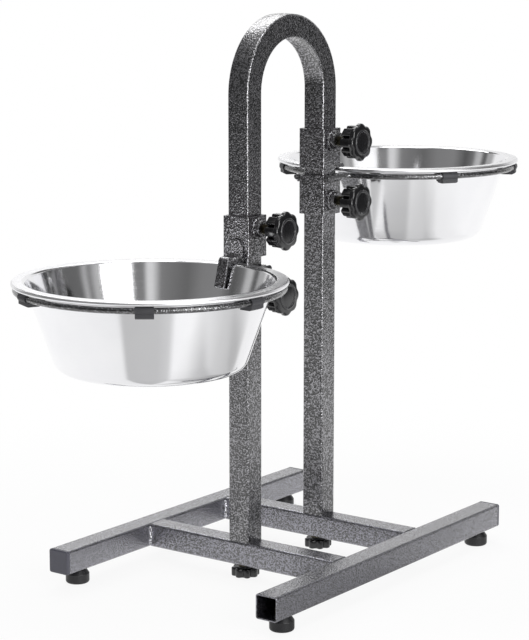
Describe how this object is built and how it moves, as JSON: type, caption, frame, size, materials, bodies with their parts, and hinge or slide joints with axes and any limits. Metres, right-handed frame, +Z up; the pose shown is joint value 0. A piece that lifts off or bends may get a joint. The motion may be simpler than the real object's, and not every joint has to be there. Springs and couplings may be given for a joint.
{
  "type": "pet feeder stand",
  "caption": "Free-standing feeder stand: welded square-tube base and bent tube hoop, with clamped sliding collars whose wire rings hold polished steel bowls at set heights.",
  "frame": {"origin": "on the floor, midway between the posts and between the legs", "axes": "+X across the base towards the clamp knobs, +Y along the legs from the lower bowl to the higher one, +Z up"},
  "size_m": [0.285, 0.7, 0.578],
  "materials": {
    "hammer_paint": "dark grey hammer-finish paint with fine light speckle",
    "dark_hammer_paint": "the same hammer finish, darker on the posts and collars",
    "polished_steel": "polished stainless steel",
    "zinc_plate": "zinc-plated steel with a pale yellow tint",
    "black_plastic": "moulded black plastic, semi-gloss",
    "clip_plastic": "moulded dark grey plastic, matt",
    "nylon": "natural white nylon"
  },
  "bodies": {
    "base": {"left_leg": "hammer_paint", "right_leg": "hammer_paint", "front_crossbar": "hammer_paint", "rear_crossbar": "hammer_paint", "weld_beads": "hammer_paint", "end_plugs": "black_plastic", "leg_nuts": "zinc_plate", "hoop": "dark_hammer_paint", "post_inserts": "zinc_plate"},
    "front_left_foot_stud": {"front_left_foot_stud": "zinc_plate"},
    "front_left_foot_pad": {"front_left_foot_pad": "black_plastic"},
    "front_right_foot_stud": {"front_right_foot_stud": "zinc_plate"},
    "front_right_foot_pad": {"front_right_foot_pad": "black_plastic"},
    "rear_left_foot_stud": {"rear_left_foot_stud": "zinc_plate"},
    "rear_left_foot_pad": {"rear_left_foot_pad": "black_plastic"},
    "rear_right_foot_stud": {"rear_right_foot_stud": "zinc_plate"},
    "rear_right_foot_pad": {"rear_right_foot_pad": "black_plastic"},
    "front_base_washer": {"front_base_washer": "zinc_plate"},
    "front_base_knob": {"front_base_knob": "black_plastic", "front_base_screw": "zinc_plate"},
    "rear_base_washer": {"rear_base_washer": "zinc_plate"},
    "rear_base_knob": {"rear_base_knob": "black_plastic", "rear_base_screw": "zinc_plate"},
    "front_holder": {"front_lower_collar": "dark_hammer_paint", "front_ring": "dark_hammer_paint", "front_ring_welds": "dark_hammer_paint", "front_ring_clips": "clip_plastic", "front_lower_nut": "zinc_plate"},
    "front_retainer": {"front_upper_collar": "dark_hammer_paint", "front_tongue": "dark_hammer_paint", "front_upper_nut": "zinc_plate"},
    "front_bowl": {"front_bowl": "polished_steel"},
    "front_lower_pad": {"front_lower_pad": "nylon"},
    "front_lower_knob": {"front_lower_stud": "zinc_plate", "front_lower_knob": "black_plastic", "front_lower_cap": "black_plastic"},
    "front_upper_pad": {"front_upper_pad": "nylon"},
    "front_upper_knob": {"front_upper_stud": "zinc_plate", "front_upper_knob": "black_plastic", "front_upper_cap": "black_plastic"},
    "rear_holder": {"rear_lower_collar": "dark_hammer_paint", "rear_ring": "dark_hammer_paint", "rear_ring_welds": "dark_hammer_paint", "rear_ring_clips": "clip_plastic", "rear_lower_nut": "zinc_plate"},
    "rear_retainer": {"rear_upper_collar": "dark_hammer_paint", "rear_tongue": "dark_hammer_paint", "rear_upper_nut": "zinc_plate"},
    "rear_bowl": {"rear_bowl": "polished_steel"},
    "rear_lower_pad": {"rear_lower_pad": "nylon"},
    "rear_lower_knob": {"rear_lower_stud": "zinc_plate", "rear_lower_knob": "black_plastic", "rear_lower_cap": "black_plastic"},
    "rear_upper_pad": {"rear_upper_pad": "nylon"},
    "rear_upper_knob": {"rear_upper_stud": "zinc_plate", "rear_upper_knob": "black_plastic", "rear_upper_cap": "black_plastic"}
  },
  "joints": [
    {"name": "front_left_foot_travel", "type": "slide", "parent": "base", "child": "front_left_foot_stud", "axis": [0, 0, -1], "range_m": [0, 0.005]},
    {"name": "front_left_foot_turn", "type": "hinge", "parent": "front_left_foot_stud", "child": "front_left_foot_pad", "pos_m": [-0.13, -0.1815, 0], "axis": [0, 0, -1], "range_deg": [0, 1440.5]},
    {"name": "front_right_foot_travel", "type": "slide", "parent": "base", "child": "front_right_foot_stud", "axis": [0, 0, -1], "range_m": [0, 0.005]},
    {"name": "front_right_foot_turn", "type": "hinge", "parent": "front_right_foot_stud", "child": "front_right_foot_pad", "pos_m": [0.13, -0.1815, 0], "axis": [0, 0, -1], "range_deg": [0, 1440.5]},
    {"name": "rear_left_foot_travel", "type": "slide", "parent": "base", "child": "rear_left_foot_stud", "axis": [0, 0, -1], "range_m": [0, 0.005]},
    {"name": "rear_left_foot_turn", "type": "hinge", "parent": "rear_left_foot_stud", "child": "rear_left_foot_pad", "pos_m": [-0.13, 0.1815, 0], "axis": [0, 0, -1], "range_deg": [0, 1440.5]},
    {"name": "rear_right_foot_travel", "type": "slide", "parent": "base", "child": "rear_right_foot_stud", "axis": [0, 0, -1], "range_m": [0, 0.005]},
    {"name": "rear_right_foot_turn", "type": "hinge", "parent": "rear_right_foot_stud", "child": "rear_right_foot_pad", "pos_m": [0.13, 0.1815, 0], "axis": [0, 0, -1], "range_deg": [0, 1440.5]},
    {"name": "front_base_screw_travel", "type": "slide", "parent": "base", "child": "front_base_washer", "axis": [0, 0, -1], "range_m": [0, 0.00125]},
    {"name": "front_base_screw_turn", "type": "hinge", "parent": "front_base_washer", "child": "front_base_knob", "pos_m": [0, -0.066, 0.01], "axis": [0, 0, -1], "range_deg": [0, 360.5]},
    {"name": "rear_base_screw_travel", "type": "slide", "parent": "base", "child": "rear_base_washer", "axis": [0, 0, -1], "range_m": [0, 0.00125]},
    {"name": "rear_base_screw_turn", "type": "hinge", "parent": "rear_base_washer", "child": "rear_base_knob", "pos_m": [0, 0.066, 0.01], "axis": [0, 0, -1], "range_deg": [0, 360.5]},
    {"name": "front_holder_height", "type": "slide", "parent": "base", "child": "front_holder", "axis": [0, 0, 1], "range_m": [-0.19, 0.08]},
    {"name": "front_retainer_lift", "type": "slide", "parent": "front_holder", "child": "front_retainer", "axis": [0, 0, 1], "range_m": [0, 0.034]},
    {"name": "front_bowl_turn", "type": "hinge", "parent": "front_holder", "child": "front_bowl", "pos_m": [0, -0.217, 0.33344], "axis": [0, 0, 1], "continuous": true},
    {"name": "front_lower_clamp_travel", "type": "slide", "parent": "front_holder", "child": "front_lower_pad", "axis": [1, 0, 0], "range_m": [0, 0.003]},
    {"name": "front_lower_clamp_turn", "type": "hinge", "parent": "front_lower_pad", "child": "front_lower_knob", "pos_m": [0, -0.066, 0.301], "axis": [1, 0, 0], "range_deg": [0, 720.5]},
    {"name": "front_upper_clamp_travel", "type": "slide", "parent": "front_retainer", "child": "front_upper_pad", "axis": [1, 0, 0], "range_m": [0, 0.003]},
    {"name": "front_upper_clamp_turn", "type": "hinge", "parent": "front_upper_pad", "child": "front_upper_knob", "pos_m": [0, -0.066, 0.36694], "axis": [1, 0, 0], "range_deg": [0, 720.5]},
    {"name": "rear_holder_height", "type": "slide", "parent": "base", "child": "rear_holder", "axis": [0, 0, 1], "range_m": [-0.27, 0.006]},
    {"name": "rear_retainer_lift", "type": "slide", "parent": "rear_holder", "child": "rear_retainer", "axis": [0, 0, 1], "range_m": [0, 0.034]},
    {"name": "rear_bowl_turn", "type": "hinge", "parent": "rear_holder", "child": "rear_bowl", "pos_m": [0, 0.217, 0.41494], "axis": [0, 0, 1], "continuous": true},
    {"name": "rear_lower_clamp_travel", "type": "slide", "parent": "rear_holder", "child": "rear_lower_pad", "axis": [1, 0, 0], "range_m": [0, 0.003]},
    {"name": "rear_lower_clamp_turn", "type": "hinge", "parent": "rear_lower_pad", "child": "rear_lower_knob", "pos_m": [0, 0.066, 0.3825], "axis": [1, 0, 0], "range_deg": [0, 720.5]},
    {"name": "rear_upper_clamp_travel", "type": "slide", "parent": "rear_retainer", "child": "rear_upper_pad", "axis": [1, 0, 0], "range_m": [0, 0.003]},
    {"name": "rear_upper_clamp_turn", "type": "hinge", "parent": "rear_upper_pad", "child": "rear_upper_knob", "pos_m": [0, 0.066, 0.44524], "axis": [1, 0, 0], "range_deg": [0, 720.5]}
  ],
  "couplings": [
    {"joint": "front_left_foot_turn", "follows": "front_left_foot_travel", "rad_per_m": 5026.5},
    {"joint": "front_right_foot_turn", "follows": "front_right_foot_travel", "rad_per_m": 5026.5},
    {"joint": "rear_left_foot_turn", "follows": "rear_left_foot_travel", "rad_per_m": 5026.5},
    {"joint": "rear_right_foot_turn", "follows": "rear_right_foot_travel", "rad_per_m": 5026.5},
    {"joint": "front_base_screw_turn", "follows": "front_base_screw_travel", "rad_per_m": 5026.5},
    {"joint": "rear_base_screw_turn", "follows": "rear_base_screw_travel", "rad_per_m": 5026.5},
    {"joint": "front_lower_clamp_turn", "follows": "front_lower_clamp_travel", "rad_per_m": 4188.8},
    {"joint": "front_upper_clamp_turn", "follows": "front_upper_clamp_travel", "rad_per_m": 4188.8},
    {"joint": "rear_lower_clamp_turn", "follows": "rear_lower_clamp_travel", "rad_per_m": 4188.8},
    {"joint": "rear_upper_clamp_turn", "follows": "rear_upper_clamp_travel", "rad_per_m": 4188.8}
  ]
}
